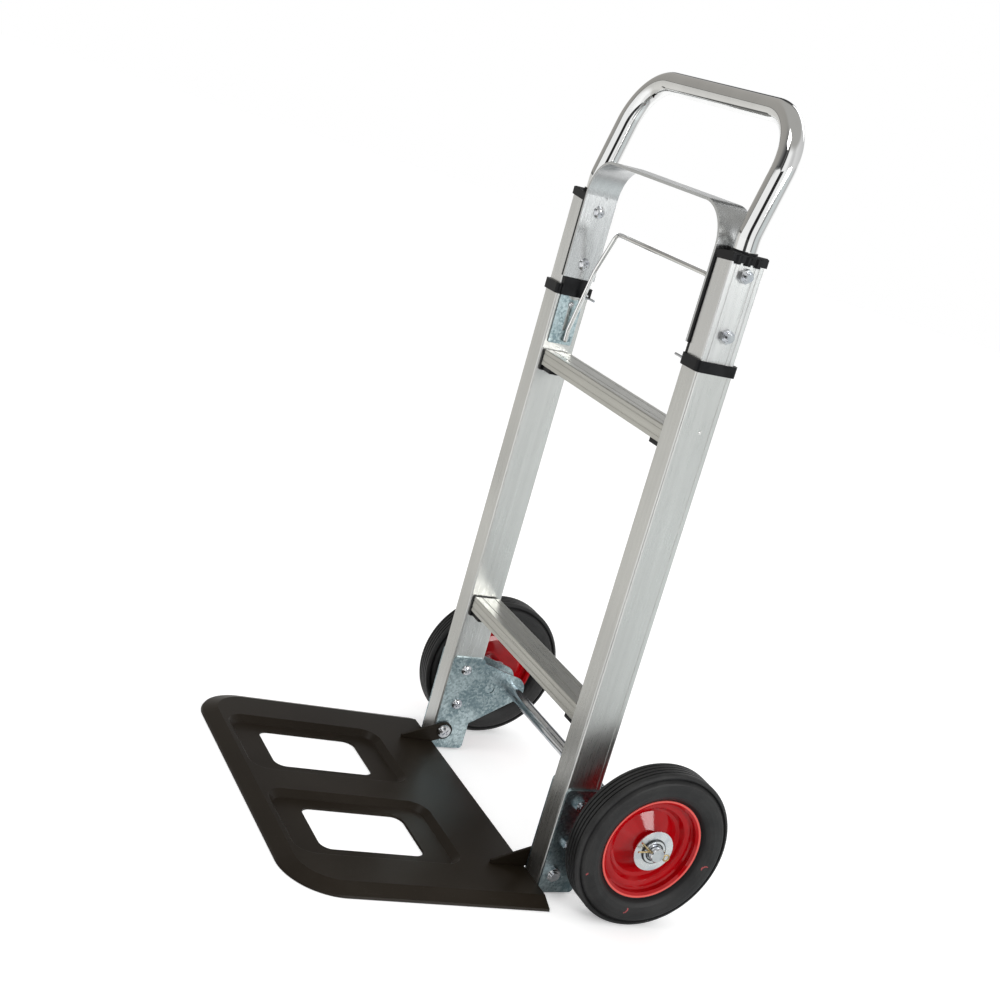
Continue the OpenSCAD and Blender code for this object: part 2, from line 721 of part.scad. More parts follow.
// Outline of sheet of thickness t that follows the line p
function seg_n(a, b) = unit([a[1] - b[1], b[0] - a[0]]);
function mitre(p, i, w) = let(
        last = len(p) - 1,
        n1 = seg_n(p[max(i - 1, 0)], p[max(i - 1, 0) + 1]),
        n2 = seg_n(p[min(i, last - 1)], p[min(i, last - 1) + 1]),
        m = unit(n1 + n2))
    p[i] + m * w / (m * n1);
function sheet(p, t) = concat([for (i = [0:len(p) - 1]) mitre(p, i, t / 2)],
    [for (i = [len(p) - 1:-1:0]) mitre(p, i, -t / 2)]);
// The inner half nests behind the outer one and then turns out to its own lip
nest_line = concat([for (i = [0:5]) mitre(rim_line, i, -rim_t)],
    [[rim_r - 6.8, -1.3], [seat_r - rim_t / 2, -3.2], [seat_r - rim_t / 2, 2.6 - lip_x],
    [rim_r - 2.6, 0.9 - lip_x], [rim_r - 0.6, 0.5 - lip_x]]);
// Half of the tyre's outline on one side of its middle: radius, distance from the middle
tyre_line = [[wheel_r, tyre_w * 0.31], [wheel_r - 1, tyre_w * 0.36], [wheel_r - 3, tyre_w * 0.4],
    [wheel_r - 4.4, tyre_w * 0.405], [wheel_r - 5.6, tyre_w * 0.36], [wheel_r - 6.8, tyre_w * 0.4],
    [wheel_r - 8.4, tyre_w * 0.46], [wheel_r - 10, tyre_w * 0.485], [wheel_r - 14, tyre_w / 2],
    [wheel_r - 19, tyre_w * 0.495], [rim_r + 7.5, tyre_w * 0.46], [rim_r + 3.5, tyre_w * 0.39],
    [rim_r + 1.2, lip_x + 1], [rim_r + 0.6, lip_x - 0.2], [seat_r, lip_x - 1.6]];
module tyre(s) {
    color("dimgray") on_axle(s) difference() {
        polygon(concat(tyre_line, [for (i = [len(tyre_line) - 1:-1:0]) [tyre_line[i][0], -tyre_line[i][1]]]));
        polygon(sheet(rim_line, rim_t));
        polygon(sheet(nest_line, rim_t));
        // grooves round the tread
        for (y = [-0.21, -0.07, 0.07, 0.21])
            translate([wheel_r - 2.4, y * tyre_w - 0.9]) square([4, 1.8]);
    }
}
// Pressed halves of the rim, the inner one nested behind the outer one
module rim_outer(s) {
    color("firebrick") on_axle(s) polygon(sheet(rim_line, rim_t));
}
module rim_inner(s) {
    color("firebrick") on_axle(s) polygon(sheet(nest_line, rim_t));
}
module wheel_hub(s) {
    a = hub_in - wheel_mid;
    b = hub_out - wheel_mid;
    color("gainsboro") on_axle(s) translate([bush_d / 2, a]) square([hub_d / 2 - bush_d / 2, b - a]);
}
module wheel_bush(s) {
    a = hub_in - wheel_mid;
    b = hub_out - wheel_mid;
    color("ivory") on_axle(s)
        translate([axle_d / 2 + axle_fit, a]) square([bush_d / 2 - axle_d / 2 - axle_fit, b - a]);
}

// ---- Toe plate, in floor coordinates ----

toe_front = axle_y - toe_reach;
toe_back = floor_y(0, 0) - 1.2;
hinge_fy = floor_y(hinge_y, hinge_z);
hinge_fz = floor_z(hinge_y, hinge_z);
// Middle line of the pressed edge: runs outwards and down to the floor from the raised area
edge_line = [[0, toe_h - toe_t / 2], [2, toe_h - toe_t / 2], [lip_w - toe_t / 2 - 1, toe_t * 0.8],
    [lip_w - toe_t / 2, 0]];
// Middle line of the wall of a pressed panel: runs outwards from the panel's floor
wall_line = [[0, toe_t / 2], [1, toe_t / 2],
    [wall_run - 1, toe_h - toe_t / 2], [wall_run, toe_h - toe_t / 2]];
module edge_section() {
    intersection() {
        polygon(sheet(edge_line, toe_t));
        square([lip_w, toe_h]);
    }
}
module wall_section() {
    polygon(sheet(wall_line, toe_t));
}
// Runs a section of radius (x) and height (y) round a rounded rectangle: the section's
// x = 0 follows the rectangle of size w by l with corner radius r
module round_corner(r) {
    rotate_extrude(angle = 90) translate([r, 0]) children();
}
module sweep_rect(w, l, r) {
    translate([w / 2 - r, l / 2 - r, 0]) round_corner(r) children();
    translate([-w / 2 + r, l / 2 - r, 0]) rotate([0, 0, 90]) round_corner(r) children();
    translate([-w / 2 + r, -l / 2 + r, 0]) rotate([0, 0, 180]) round_corner(r) children();
    translate([w / 2 - r, -l / 2 + r, 0]) rotate([0, 0, 270]) round_corner(r) children();
    for (a = [0, 180]) rotate([0, 0, a])
        translate([w / 2, l / 2 - r, 0]) rotate([90, 0, 0]) linear_extrude(l - 2 * r) children();
    for (a = [90, 270]) rotate([0, 0, a])
        translate([l / 2, w / 2 - r, 0]) rotate([90, 0, 0]) linear_extrude(w - 2 * r) children();
}
panel_w = panel_out - panel_in;
panel_mid = [(panel_in + panel_out) / 2, toe_front + panel_front + panel_len / 2];
hole_mid = [(hole_in + hole_out) / 2, toe_front + hole_front + hole_len / 2];
module toe_plate() {
    in_w = toe_w / 2 - lip_w;
    in_front = toe_front + lip_w;
    in_r = toe_corner - lip_w;
    color("dimgray") difference() {
        union() {
            // raised area
            difference() {
                translate([0, 0, toe_h - toe_t]) linear_extrude(toe_t) {
                    translate([-in_w, in_front + in_r]) square([2 * in_w, toe_back - in_front - in_r]);
                    translate([-in_w + in_r, in_front]) square([2 * (in_w - in_r), in_r + 1]);
                    for (x = [-1, 1]) translate([x * (in_w - in_r), in_front + in_r]) circle(r = in_r);
                }
                both_sides() translate([panel_mid[0], panel_mid[1], 0])
                    linear_extrude(toe_h + 1) round_rect(panel_w - 0.1, panel_len - 0.1, panel_r);
            }
            // sloping edge along the front, the corners and the sides
            translate([in_w - in_r, in_front, 0]) rotate([90, 0, -90])
                linear_extrude(2 * (in_w - in_r)) edge_section();
            both_sides() {
                translate([in_w - in_r, in_front + in_r, 0])
                    rotate([0, 0, -90]) round_corner(in_r) edge_section();
                translate([in_w, toe_back, 0])
                    rotate([90, 0, 0]) linear_extrude(toe_back - in_front - in_r) edge_section();
                // recessed panel
                translate([panel_mid[0], panel_mid[1], 0]) {
                    linear_extrude(toe_t)
                        round_rect(panel_w - 2 * wall_run + 0.1, panel_len - 2 * wall_run + 0.1,
                            panel_r - wall_run);
                    sweep_rect(panel_w - 2 * wall_run, panel_len - 2 * wall_run, panel_r - wall_run)
                        wall_section();
                }
            }
        }
        both_sides() translate([hole_mid[0], hole_mid[1], -1])
            linear_extrude(toe_h) round_rect(hole_out - hole_in, hole_len, hole_r);
    }
}
// Lug that carries the toe plate on its hinge bolt
ear_in = rail_gap / 2 - plate_t - ear_gap - ear_t;
module toe_ear(s) {
    reach = 42;
    color("dimgray") on_side(s) slab_x(ear_in, ear_in + ear_t) difference() {
        union() {
            translate([hinge_fy, hinge_fz]) circle(r = 11);
            polygon([[toe_back - 1, toe_h], [hinge_fy + 9, hinge_fz - 6.3], [hinge_fy - 5, hinge_fz + 9.8],
                [toe_back - reach, toe_h + 4], [toe_back - reach, toe_h]]);
        }
        translate([hinge_fy, hinge_fz]) circle(d = m10 + 0.15);
    }
}

lower_rail(-1);  // lower_rail_left
lower_rail(1);  // lower_rail_right
rail_plug(-1);  // rail_plug_left
rail_plug(1);  // rail_plug_right
collar(-1);  // collar_left
collar(1);  // collar_right
crossbar(bar_upper_z);  // crossbar_upper
crossbar(bar_lower_z);  // crossbar_lower
bar_bracket(-1, bar_upper_z);  // bar_bracket_upper_left
bar_bracket(1, bar_upper_z);  // bar_bracket_upper_right
bar_bracket(-1, bar_lower_z);  // bar_bracket_lower_left
bar_bracket(1, bar_lower_z);  // bar_bracket_lower_right
bar_bolts();
axle_plate_outer(-1);  // axle_plate_outer_left
axle_plate_outer(1);  // axle_plate_outer_right
axle_plate_inner(-1);  // axle_plate_inner_left
axle_plate_inner(1);  // axle_plate_inner_right
axle_plate_bolts();
frame_nuts();
toe_hinge_bolts();
axle();
axle_spacer(-1);  // axle_spacer_left
axle_spacer(1);  // axle_spacer_right
axle_washers();
split_pins();
latch_screws();
bar_rivets();
upper_rail(-1);  // upper_rail_left
upper_rail(1);  // upper_rail_right
slide_plug(-1);  // slide_plug_left
slide_plug(1);  // slide_plug_right
rail_cap(-1);  // rail_cap_left
rail_cap(1);  // rail_cap_right
arch_strip(-1);  // arch_strip_left
arch_strip(1);  // arch_strip_right
arch_bar();
handle_tube();
handle_bolts();
handle_nuts();
release_bail();
latch_plate(-1);  // latch_plate_left
latch_plate(1);  // latch_plate_right
lock_pin(-1);  // lock_pin_left
lock_pin(1);  // lock_pin_right
tyre(-1);  // tyre_left
tyre(1);  // tyre_right
rim_outer(-1);  // rim_outer_left
rim_outer(1);  // rim_outer_right
rim_inner(-1);  // rim_inner_left
rim_inner(1);  // rim_inner_right
wheel_hub(-1);  // wheel_hub_left
wheel_hub(1);  // wheel_hub_right
wheel_bush(-1);  // wheel_bush_left
wheel_bush(1);  // wheel_bush_right
toe_plate();
toe_ear(-1);  // toe_ear_left
toe_ear(1);  // toe_ear_right
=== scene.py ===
import json
import math

import bmesh
import bpy
from mathutils import Matrix, Vector


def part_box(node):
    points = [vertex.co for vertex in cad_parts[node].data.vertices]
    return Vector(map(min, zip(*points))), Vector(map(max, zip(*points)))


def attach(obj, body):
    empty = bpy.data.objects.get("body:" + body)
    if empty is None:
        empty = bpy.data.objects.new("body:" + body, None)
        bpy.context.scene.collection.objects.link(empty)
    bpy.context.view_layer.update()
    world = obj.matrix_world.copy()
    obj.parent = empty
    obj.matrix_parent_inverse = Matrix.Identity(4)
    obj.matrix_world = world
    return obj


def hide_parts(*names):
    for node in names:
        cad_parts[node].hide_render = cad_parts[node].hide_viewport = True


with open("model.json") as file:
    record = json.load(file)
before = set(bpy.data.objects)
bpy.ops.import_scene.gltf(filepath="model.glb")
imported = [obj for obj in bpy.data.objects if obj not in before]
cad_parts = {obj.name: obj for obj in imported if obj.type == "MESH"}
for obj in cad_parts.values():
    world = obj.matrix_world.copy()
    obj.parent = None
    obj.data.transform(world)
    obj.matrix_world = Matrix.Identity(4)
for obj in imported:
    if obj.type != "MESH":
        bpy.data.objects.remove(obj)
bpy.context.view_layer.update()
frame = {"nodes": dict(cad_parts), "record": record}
nodes = frame["nodes"]

# Lengths are in metres, in the frame of the solids: X to the right, Y to the back, Z up.
# "Upright" coordinates are the same, in millimetres, before the rails lean forward about the axle.
MM = 0.001
LEAN = math.radians(3.75)
UPRIGHT_AXLE = Vector((0, 90, 90)) * MM


def middle(name):
    low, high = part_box(name)
    return (Vector(low) + Vector(high)) / 2


AXLE = middle("axle")
TO_FRAME = Matrix.Translation(AXLE) @ Matrix.Rotation(LEAN, 4, "X") @ Matrix.Translation(-UPRIGHT_AXLE)


def from_upright(x, y, z):
    return TO_FRAME @ (Vector((x, y, z)) * MM)


# ---- Shading of the meshes ----

# an edge sharper than this stays sharp
SOLID_CREASE = math.radians(28)
TUBE_CREASE = math.radians(50)


def smooth(obj, crease):
    for poly in obj.data.polygons:
        poly.use_smooth = True
    edges = bmesh.new()
    edges.from_mesh(obj.data)
    for edge in edges.edges:
        edge.smooth = len(edge.link_faces) != 2 or edge.calc_face_angle(0.0) < crease
    edges.to_mesh(obj.data)
    edges.free()


# ---- Node graph helpers ----

# sockets of a colour mix, which share their names with hidden ones
FACTOR, FIRST, SECOND, MIXED = 0, 6, 7, 2


class Graph:
    """Adds nodes to one node tree."""

    def __init__(self, tree, source="Object"):
        self.tree = tree
        self.source = source
        self.coords = None

    def node(self, kind, **settings):
        made = self.tree.nodes.new(kind)
        for key, value in settings.items():
            setattr(made, key, value)
        return made

    def feed(self, socket, value):
        if isinstance(value, bpy.types.NodeSocket):
            self.tree.links.new(value, socket)
        elif isinstance(value, (tuple, list)) and len(value) == 3 and socket.type == "RGBA":
            socket.default_value = (*value, 1)
        else:
            socket.default_value = value

    def place(self, scale=(1, 1, 1), tilt=0.0):
        """Coordinates, turned about X by tilt and then stretched."""
        if self.coords is None:
            self.coords = self.node("ShaderNodeTexCoord").outputs[self.source]
        turn = self.node("ShaderNodeMapping", vector_type="POINT")
        turn.inputs["Rotation"].default_value = (tilt, 0, 0)
        self.feed(turn.inputs["Vector"], self.coords)
        size = self.node("ShaderNodeMapping", vector_type="POINT")
        size.inputs["Scale"].default_value = scale
        self.feed(size.inputs["Vector"], turn.outputs["Vector"])
        return size.outputs["Vector"]

    def noise(self, where, detail=3.0, rough=0.55, distort=0.0):
        made = self.node("ShaderNodeTexNoise")
        self.feed(made.inputs["Vector"], where)
        made.inputs["Scale"].default_value = 1
        made.inputs["Detail"].default_value = detail
        made.inputs["Roughness"].default_value = rough
        made.inputs["Distortion"].default_value = distort
        return made.outputs["Fac"]

    def even_noise(self, scale, detail=3.0, rough=0.55, distort=0.0):
        """Noise that is alike in every direction; the scale is in features to the metre."""
        return self.noise(self.place((scale, scale, scale)), detail, rough, distort)

    def rings(self, distance, scale):
        """Noise along one length."""
        made = self.node("ShaderNodeTexNoise", noise_dimensions="1D")
        self.feed(made.inputs["W"], self.times(distance, scale))
        return made.outputs["Fac"]

    def cells(self, scale, out="Distance"):
        made = self.node("ShaderNodeTexVoronoi")
        self.feed(made.inputs["Vector"], self.place())
        made.inputs["Scale"].default_value = scale
        return made.outputs[out]

    def ramp(self, value, low, high, to_low=0.0, to_high=1.0):
        """Soft step from to_low to to_high while the value goes from low to high."""
        made = self.node("ShaderNodeMapRange", interpolation_type="SMOOTHSTEP")
        limits = {"From Min": low, "From Max": high, "To Min": to_low, "To Max": to_high}
        for name, number in limits.items():
            made.inputs[name].default_value = number
        self.feed(made.inputs["Value"], value)
        return made.outputs["Result"]

    def band(self, value, stops):
        """Colour by value; stops are pairs of a place from 0 to 1 and a tone."""
        made = self.node("ShaderNodeValToRGB")
        self.feed(made.inputs[0], value)
        elements = made.color_ramp.elements
        while len(elements) < len(stops):
            elements.new(0.5)
        for element, (place, tone) in zip(elements, stops):
            element.position = place
            element.color = (*(tone if isinstance(tone, tuple) else (tone, tone, tone)), 1)
        return made.outputs[0]

    def math(self, kind, a, b=0.0):
        made = self.node("ShaderNodeMath", operation=kind)
        self.feed(made.inputs[0], a)
        self.feed(made.inputs[1], b)
        return made.outputs[0]

    def times(self, a, b):
        return self.math("MULTIPLY", a, b)

    def plus(self, a, b):
        return self.math("ADD", a, b)

    def minus(self, a, b):
        return self.math("SUBTRACT", a, b)

    def off(self, value, target):
        """How far a value is from a target, either way."""
        return self.math("ABSOLUTE", self.minus(value, target))

    def hypot(self, a, b):
        return self.math("SQRT", self.plus(self.times(a, a), self.times(b, b)))

    def mix(self, factor, a, b, blend="MIX"):
        made = self.node("ShaderNodeMix", data_type="RGBA", blend_type=blend)
        self.feed(made.inputs[FACTOR], factor)
        self.feed(made.inputs[FIRST], a)
        self.feed(made.inputs[SECOND], b)
        return made.outputs[MIXED]

    def parts(self, vector):
        made = self.node("ShaderNodeSeparateXYZ")
        self.feed(made.inputs[0], vector)
        return made.outputs["X"], made.outputs["Y"], made.outputs["Z"]

    def heading(self, x, y):
        """Heading as a part of a turn: 0 is to the left, 0.25 to the front, 0.5 right, 0.75 back."""
        return self.plus(self.times(self.math("ARCTAN2", y, x), 1 / math.tau), 0.5)

    def rays(self):
        """1 for rays from the camera, off gloss or through glass; and 1 for rays off gloss alone."""
        path = self.node("ShaderNodeLightPath").outputs
        glossy = path["Is Glossy Ray"]
        indirect = self.math("MAXIMUM", glossy, path["Is Transmission Ray"])
        return self.math("MAXIMUM", path["Is Camera Ray"], indirect), glossy


class Paint(Graph):
    """The node tree of one material."""

    def __init__(self, name):
        self.mat = bpy.data.materials.new(name)
        self.mat.use_nodes = True
        super().__init__(self.mat.node_tree)
        self.bsdf = self.tree.nodes["Principled BSDF"]
        self.normal = None

    def set(self, name, value):
        self.feed(self.bsdf.inputs[name], value)

    def soft_edges(self, radius):
        made = self.node("ShaderNodeBevel", samples=4)
        made.inputs["Radius"].default_value = radius
        self.normal = made.outputs["Normal"]
        self.set("Normal", self.normal)

    def bump(self, height, strength, distance):
        made = self.node("ShaderNodeBump")
        made.inputs["Strength"].default_value = strength
        made.inputs["Distance"].default_value = distance
        self.feed(made.inputs["Height"], height)
        if self.normal is not None:
            self.feed(made.inputs["Normal"], self.normal)
        self.normal = made.outputs["Normal"]
        self.set("Normal", self.normal)

    def around_axle(self):
        """Distances from the axle's line and the truck's middle plane, and back and up from the axle."""
        x, y, z = self.parts(self.place())
        back = self.minus(y, AXLE.y)
        up = self.minus(z, AXLE.z)
        return self.hypot(back, up), self.math("ABSOLUTE", x), back, up


def dim(tone, share):
    return tuple(c * share for c in tone)


# ---- Metals ----

SCUFF_GREY = (0.45, 0.44, 0.42)
SPOT_BROWN = (0.22, 0.2, 0.17)


def streaks(p, along, lengthwise, across, detail, rough):
    """Noise drawn out along one axis of the leaning truck, with both scales in features to the metre."""
    scale = [lengthwise if axis == along else across for axis in "xyz"]
    return p.noise(p.place(scale, -LEAN), detail, rough)


def drawn_aluminium(name, tone, rough, grain, along="z"):
    """Extruded or rolled aluminium: fine die lines along its length, faint cloudiness, a few scuffs."""
    p = Paint(name)
    p.soft_edges(0.5 * MM)
    lines = streaks(p, along, 26, 2340, 4, 0.7)
    bands = streaks(p, along, 4, 140, 2, 0.5)
    cloud = p.even_noise(9, 3, 0.6)
    scuff = p.ramp(p.even_noise(55, 6, 0.75, 1.4), 0.66, 0.74)
    spots = p.ramp(p.cells(210), 0.05, 0.11, 1, 0)
    spots = p.times(spots, p.ramp(p.even_noise(30, 2), 0.56, 0.66))
    light = p.mix(p.ramp(bands, 0.3, 0.7), dim(tone, 0.92), tone)
    light = p.mix(p.ramp(cloud, 0.35, 0.7, 0, 0.35), light, dim(tone, 0.86))
    light = p.mix(p.times(scuff, 0.15), light, SCUFF_GREY)
    p.set("Base Color", p.mix(p.times(spots, 0.25), light, SPOT_BROWN))
    p.set("Metallic", 1.0)
    worn = p.times(p.plus(scuff, p.ramp(cloud, 0.3, 0.7)), 0.05)
    p.set("Roughness", p.plus(p.ramp(lines, 0.25, 0.75, rough - 0.05, rough + 0.07), worn))
    p.bump(lines, grain, 0.06 * MM)
    p.bump(bands, grain * 0.8, 0.2 * MM)
    p.bump(scuff, 0.15, 0.05 * MM)
    return p.mat


def chrome(name, tone, rough):
    """Bright plating over bent tube or wire: nearly a mirror, with wiped smears and hairlines."""
    p = Paint(name)
    smear = p.noise(p.place((16, 16, 5), -LEAN), 4, 0.6, 0.6)
    hair = p.noise(p.place((900, 900, 40), 0.5), 3, 0.7)
    ripple = p.even_noise(42, 1, 0.4)
    p.set("Base Color", p.mix(p.ramp(smear, 0.4, 0.75), tone, dim(tone, 0.92)))
    p.set("Metallic", 1.0)
    hazy = p.ramp(smear, 0.4, 0.8, rough, rough + 0.04)
    p.set("Roughness", p.plus(hazy, p.ramp(hair, 0.6, 0.8, 0, 0.025)))
    p.bump(ripple, 0.06, 0.6 * MM)
    return p.mat


ZINC_DULL = (0.78, 0.8, 0.85)
# painted shade: the tone of the dark rings painted on the washers
PAINTED_SHADE = (0.015, 0.016, 0.018)


def with_painted_rings(p, light, shade_rings):
    """A colour, with painted shade: darkened in rings at these distances from the axle."""
    reach = p.around_axle()[0]
    for groove in shade_rings:
        light = p.mix(p.ramp(p.off(reach, groove), 0.5 * MM, 1.0 * MM, 0.9, 0), light, PAINTED_SHADE)
    return light


def bright_zinc(name, tone=(0.7, 0.71, 0.72), rough=0.13, shade_rings=()):
    """Electroplated fasteners: bright, faintly blue, dull in patches, with painted shade as dark rings at
    any distances from the axle that are given.
    """
    p = Paint(name)
    p.soft_edges(0.3 * MM)
    patch = p.even_noise(120, 4, 0.6)
    fine = p.even_noise(1400, 3, 0.6)
    light = p.mix(p.ramp(patch, 0.35, 0.7), tone, tuple(c * f for c, f in zip(tone, ZINC_DULL)))
    # painted shade: dark rings, where distances from the axle are given
    p.set("Base Color", with_painted_rings(p, light, shade_rings) if shade_rings else light)
    p.set("Metallic", 1.0)
    p.set("Roughness", p.ramp(patch, 0.3, 0.75, rough - 0.04, rough + 0.1))
    p.bump(fine, 0.12, 0.05 * MM)
    return p.mat


def spangled_zinc(name):
    """Galvanised sheet: small feathery crystals in different shades of blue-grey."""
    p = Paint(name)
    p.soft_edges(0.4 * MM)
    grey = p.node("ShaderNodeRGBToBW")
    p.feed(grey.inputs[0], p.cells(420, "Color"))
    feather = p.noise(p.place((900, 900, 300), -LEAN), 4, 0.75)
    wide = p.even_noise(38, 3, 0.6)
    shade = p.plus(p.times(grey.outputs[0], 0.38), p.times(feather, 0.5))
    shade = p.plus(shade, p.ramp(wide, 0.35, 0.65, -0.1, 0.12))
    tint = p.mix(p.ramp(shade, 0.2, 0.8), (0.19, 0.265, 0.29), (0.6, 0.71, 0.73))
    dull = p.ramp(p.even_noise(260, 3, 0.7), 0.62, 0.7, 0, 0.5)
    p.set("Base Color", p.mix(dull, tint, (0.27, 0.3, 0.32)))
    p.set("Metallic", 1.0)
    p.set("Roughness", p.ramp(shade, 0.2, 0.9, 0.42, 0.26))
    p.bump(shade, 0.25, 0.12 * MM)
    return p.mat


def brass_wire(name):
    """Yellow-passivated wire of the split pins."""
    p = Paint(name)
    patch = p.even_noise(420, 3, 0.6)
    p.set("Base Color", p.mix(p.ramp(patch, 0.35, 0.7), (0.72, 0.56, 0.29), (0.42, 0.34, 0.2)))
    p.set("Metallic", 1.0)
    p.set("Roughness", p.ramp(patch, 0.3, 0.7, 0.18, 0.36))
    p.bump(patch, 0.2, 0.05 * MM)
    return p.mat


# ---- Plastic, coatings and rubber ----

def moulded_plastic(name):
    """Injection-moulded nylon: fine spark texture, satin, with paler rubbed spots."""
    p = Paint(name)
    p.soft_edges(0.7 * MM)
    tone = (0.0045, 0.0048, 0.0054)
    grain = p.even_noise(1900, 3, 0.6)
    flow = p.even_noise(60, 3, 0.6, 0.5)
    rubbed = p.ramp(p.even_noise(150, 5, 0.7), 0.62, 0.76)
    dark = p.mix(p.ramp(flow, 0.35, 0.7), tone, dim(tone, 1.9))
    p.set("Base Color", p.mix(p.times(rubbed, 0.25), dark, (0.06, 0.06, 0.06)))
    p.set("Roughness", p.plus(p.ramp(flow, 0.3, 0.7, 0.28, 0.4), p.times(rubbed, 0.1)))
    p.set("Specular IOR Level", 0.18)
    p.bump(grain, 0.22, 0.06 * MM)
    return p.mat


def powder_coat(name):
    """Satin black powder coat on pressed steel: orange peel, dust, rubbed arcs where loads slide."""
    p = Paint(name)
    p.soft_edges(1.0 * MM)
    peel = p.even_noise(620, 2, 0.5)
    cloud = p.even_noise(7, 4, 0.6, 0.4)
    dust = p.ramp(p.even_noise(900, 2, 0.5), 0.66, 0.74)
    slide = p.noise(p.place((130, 9, 40)), 5, 0.75, 0.3)
    rub = p.times(p.ramp(slide, 0.62, 0.72), p.ramp(cloud, 0.45, 0.7))
    tone = p.mix(p.ramp(cloud, 0.3, 0.7), (0.0128, 0.009, 0.0054), (0.0185, 0.0138, 0.009))
    tone = p.mix(p.times(rub, 0.2), tone, (0.1, 0.092, 0.085))
    p.set("Base Color", p.mix(p.times(dust, 0.12), tone, (0.16, 0.15, 0.135)))
    p.set("Roughness", p.plus(p.ramp(cloud, 0.3, 0.7, 0.32, 0.4), p.times(rub, 0.08)))
    p.set("Specular IOR Level", 0.15)
    p.bump(peel, 0.18, 0.1 * MM)
    return p.mat


# the rolled lip of the rim, where a pale highlight is painted: from this far out from the axle, and from
# this far out from the middle
LIP_REACH = (55.1 * MM, 56.3 * MM)
LIP_OUT = (222.5 * MM, 224 * MM)


def enamel(name):
    """Gloss red enamel: deep in the dish, with a painted highlight that makes it pale over the rolled
    lip.
    """
    p = Paint(name)
    p.soft_edges(0.9 * MM)
    reach, out, _, _ = p.around_axle()
    cloud = p.even_noise(24, 3, 0.6)
    peel = p.even_noise(240, 1, 0.4)
    chips = p.ramp(p.even_noise(420, 4, 0.7), 0.71, 0.74)
    lip_highlight = p.times(p.ramp(reach, *LIP_REACH), p.ramp(out, *LIP_OUT))
    red = p.mix(p.ramp(cloud, 0.3, 0.7), (0.34, 0.0006, 0.003), (0.44, 0.001, 0.004))
    # painted highlight: the rolled lip is painted pale salmon, as the sheen it catches
    red = p.mix(p.times(lip_highlight, 0.85), red, (0.82, 0.12, 0.1))
    p.set("Base Color", p.mix(p.times(chips, 0.25), red, (0.12, 0.005, 0.006)))
    p.set("Roughness", p.plus(p.ramp(cloud, 0.3, 0.7, 0.1, 0.16), p.times(lip_highlight, 0.3)))
    p.set("Specular IOR Level", 0.2)
    p.set("Coat Weight", 0.3)
    p.set("Coat Roughness", 0.03)
    p.bump(peel, 0.05, 0.3 * MM)
    return p.mat


# Smears of rim paint on the right tyre's outer side: radius (mm) and angle (degrees) about the axle, the
# angle that the stroke lies at (degrees), half its length (mm) and its bend (1/m)
SMEARS = ((78.7, -157.2, 60, 0.8, 0), (69.0, -9.2, 35, 3.2, 120), (70.7, -96.3, 55, 3.0, -90))
SMEAR_EDGE = (0.88 * MM, 1.65 * MM)
SMEAR_RED = (0.46, 0.08, 0.085)
# the tyre's outer side, as a distance from the middle of the truck
TYRE_SIDE = (227 * MM, 229 * MM)


def smear_mask(p, out, back, up, smear):
    radius, angle, lie, half, bend = smear
    there, turn = math.radians(angle), math.radians(lie)
    cos, sin = math.cos(turn), math.sin(turn)
    dy = p.minus(back, radius * MM * math.cos(there))
    dz = p.minus(up, radius * MM * math.sin(there))
    u = p.plus(p.times(dy, cos), p.times(dz, sin))
    v = p.minus(p.times(dz, cos), p.times(dy, sin))
    v = p.plus(v, p.times(p.times(u, u), bend))
    past = p.math("MAXIMUM", p.minus(p.math("ABSOLUTE", u), half * MM), 0.0)
    ragged = p.ramp(p.even_noise(700, 4, 0.7), 0.35, 0.7, 0, 1.6 * MM)
    stroke = p.ramp(p.plus(p.hypot(past, v), ragged), *SMEAR_EDGE, 0.9, 0)
    return p.times(stroke, p.ramp(out, *TYRE_SIDE))


RUBBER_SHADE = (0.003, 0.003, 0.0035)
# the groove at the edge of the tyre's side, as a distance from the axle
SHOULDER = 85 * MM


def rubber(name, smears=()):
    """Matt tyre rubber: moulding lines, bloom, dust, and shade by the rim and in the shoulder groove."""
    p = Paint(name)
    p.soft_edges(0.8 * MM)
    reach, out, back, up = p.around_axle()
    grain = p.even_noise(800, 4, 0.65)
    bloom = p.even_noise(26, 5, 0.65, 0.5)
    specks = p.ramp(p.cells(340), 0.06, 0.14, 1, 0)
    specks = p.times(specks, p.ramp(p.even_noise(45, 3), 0.5, 0.65))
    lines = p.rings(reach, 900)
    tone = p.mix(p.ramp(bloom, 0.35, 0.7), (0.0125, 0.0125, 0.013), (0.026, 0.0262, 0.0258))
    tone = p.mix(p.ramp(lines, 0.4, 0.7, 0, 0.4), tone, (0.036, 0.036, 0.035))
    tone = p.mix(p.times(specks, 0.4), tone, (0.13, 0.115, 0.09))
    tone = p.mix(p.ramp(reach, 59.5 * MM, 65 * MM, 0.9, 0), tone, RUBBER_SHADE)
    tone = p.mix(p.ramp(p.off(reach, SHOULDER), 0.8 * MM, 2.2 * MM, 0.8, 0), tone, RUBBER_SHADE)
    for smear in smears:
        tone = p.mix(smear_mask(p, out, back, up, smear), tone, SMEAR_RED)
    p.set("Base Color", tone)
    p.set("Roughness", p.ramp(bloom, 0.3, 0.7, 0.42, 0.54))
    p.set("Specular IOR Level", 0.3)
    p.bump(grain, 0.3, 0.15 * MM)
    p.bump(lines, 0.3, 0.2 * MM)
    return p.mat


def nylon(name):
    """Natural nylon of the wheel bushes."""
    p = Paint(name)
    cloud = p.even_noise(90, 3, 0.6)
    p.set("Base Color", p.mix(p.ramp(cloud, 0.3, 0.7), (0.72, 0.7, 0.62), (0.62, 0.6, 0.53)))
    p.set("Roughness", p.ramp(cloud, 0.3, 0.7, 0.38, 0.5))
    p.set("Subsurface Weight", 0.1)
    p.bump(cloud, 0.1, 0.2 * MM)
    return p.mat
